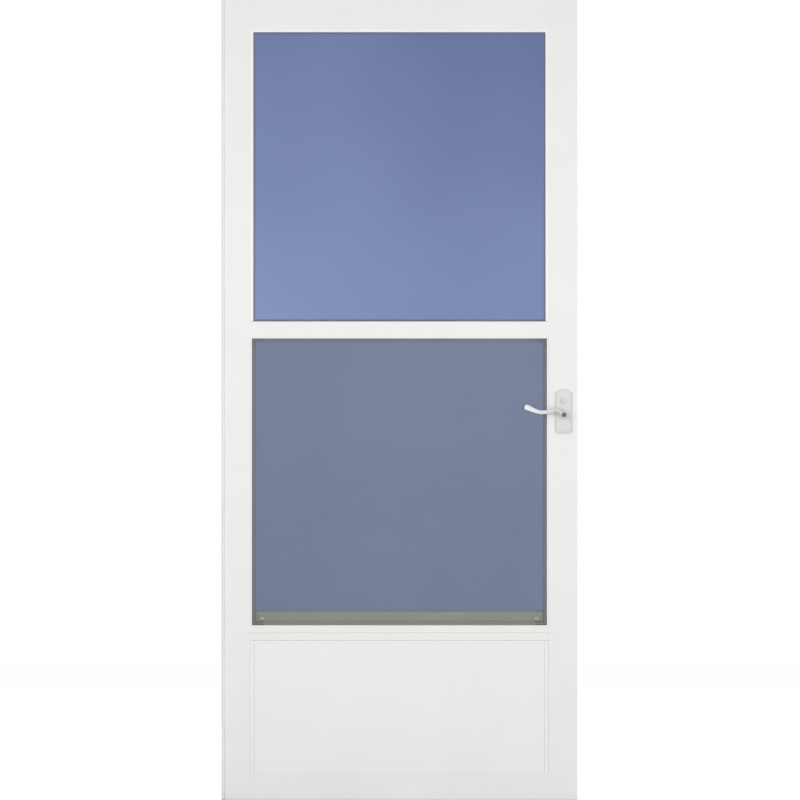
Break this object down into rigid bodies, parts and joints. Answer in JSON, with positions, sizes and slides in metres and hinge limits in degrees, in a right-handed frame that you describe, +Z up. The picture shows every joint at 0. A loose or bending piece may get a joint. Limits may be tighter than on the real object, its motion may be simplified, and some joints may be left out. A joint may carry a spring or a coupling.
{
  "type": "storm door",
  "caption": "White mid-view storm door with a blue-tinted upper lite, screened lower lite, kick panel, continuous hinge and waved lever handle.",
  "frame": {"origin": "on the hinge rail's outer mounting face, on its screw line, at sill level", "axes": "+X runs from the hinge side to the latch side, +Y from outside to inside, +Z up"},
  "size_m": [0.9144, 0.0994, 2.0574],
  "materials": {
    "rail_white": "satin paint",
    "leaf_white": "satin paint",
    "panel_white": "satin paint",
    "bead_white": "gloss",
    "sash_white": "satin paint",
    "seal_vinyl": "matt",
    "dark_vinyl": "matt",
    "clear_glass": "polished",
    "screen_frame_grey": "satin paint",
    "screen_cloth": "matt",
    "bright_steel": "brushed",
    "handle_white": "gloss paint"
  },
  "bodies": {
    "frame": {"hinge_rail": "rail_white", "latch_rail": "rail_white", "header_rail": "rail_white", "hinge_seal": "seal_vinyl", "latch_seal": "seal_vinyl", "header_seal": "seal_vinyl", "strike_plate": "bright_steel", "hinge_frame_leaf": "leaf_white", "hinge_pin": "bright_steel"},
    "leaf": {"hinge_door_leaf": "leaf_white", "hinge_stile": "leaf_white", "latch_stile": "leaf_white", "top_rail": "leaf_white", "meeting_rail": "leaf_white", "sill_rail": "leaf_white", "bottom_rail": "leaf_white", "kick_panel": "panel_white", "bottom_expander": "rail_white", "sweep_fins": "bead_white", "upper_side_beads": "bead_white", "upper_top_bead": "bead_white", "lower_side_beads": "bead_white", "window_tracks": "rail_white", "upper_sash_stiles": "sash_white", "upper_sash_rails": "sash_white", "upper_gasket": "dark_vinyl", "upper_glass": "clear_glass", "screen_stiles": "screen_frame_grey", "screen_rails": "screen_frame_grey", "insect_screen": "screen_cloth", "lower_sash_stiles": "sash_white", "lower_sash_top_rail": "sash_white", "lower_sash_bottom_rail": "sash_white", "lower_gasket": "dark_vinyl", "lower_glass": "clear_glass", "sash_latches": "dark_vinyl", "outer_plate": "handle_white", "inner_plate": "handle_white", "lock_cylinder": "bright_steel", "thumb_turn": "handle_white", "latch_faceplate": "bright_steel", "latch_bolt": "bright_steel"},
    "lever": {"outer_lever": "handle_white", "inner_lever": "handle_white", "spindle": "bright_steel"}
  },
  "joints": [
    {"name": "door_swing", "type": "hinge", "parent": "frame", "child": "leaf", "pos_m": [0.0041, -0.0314, 1], "axis": [0, 0, -1], "range_deg": [0, 110]},
    {"name": "lever_turn", "type": "hinge", "parent": "leaf", "child": "lever", "pos_m": [0.8793, -0.0153, 0.9906], "axis": [0, -1, 0], "range_deg": [0, 40], "stiffness_Nm_per_rad": 1.2, "springref_deg": -20.05}
  ]
}
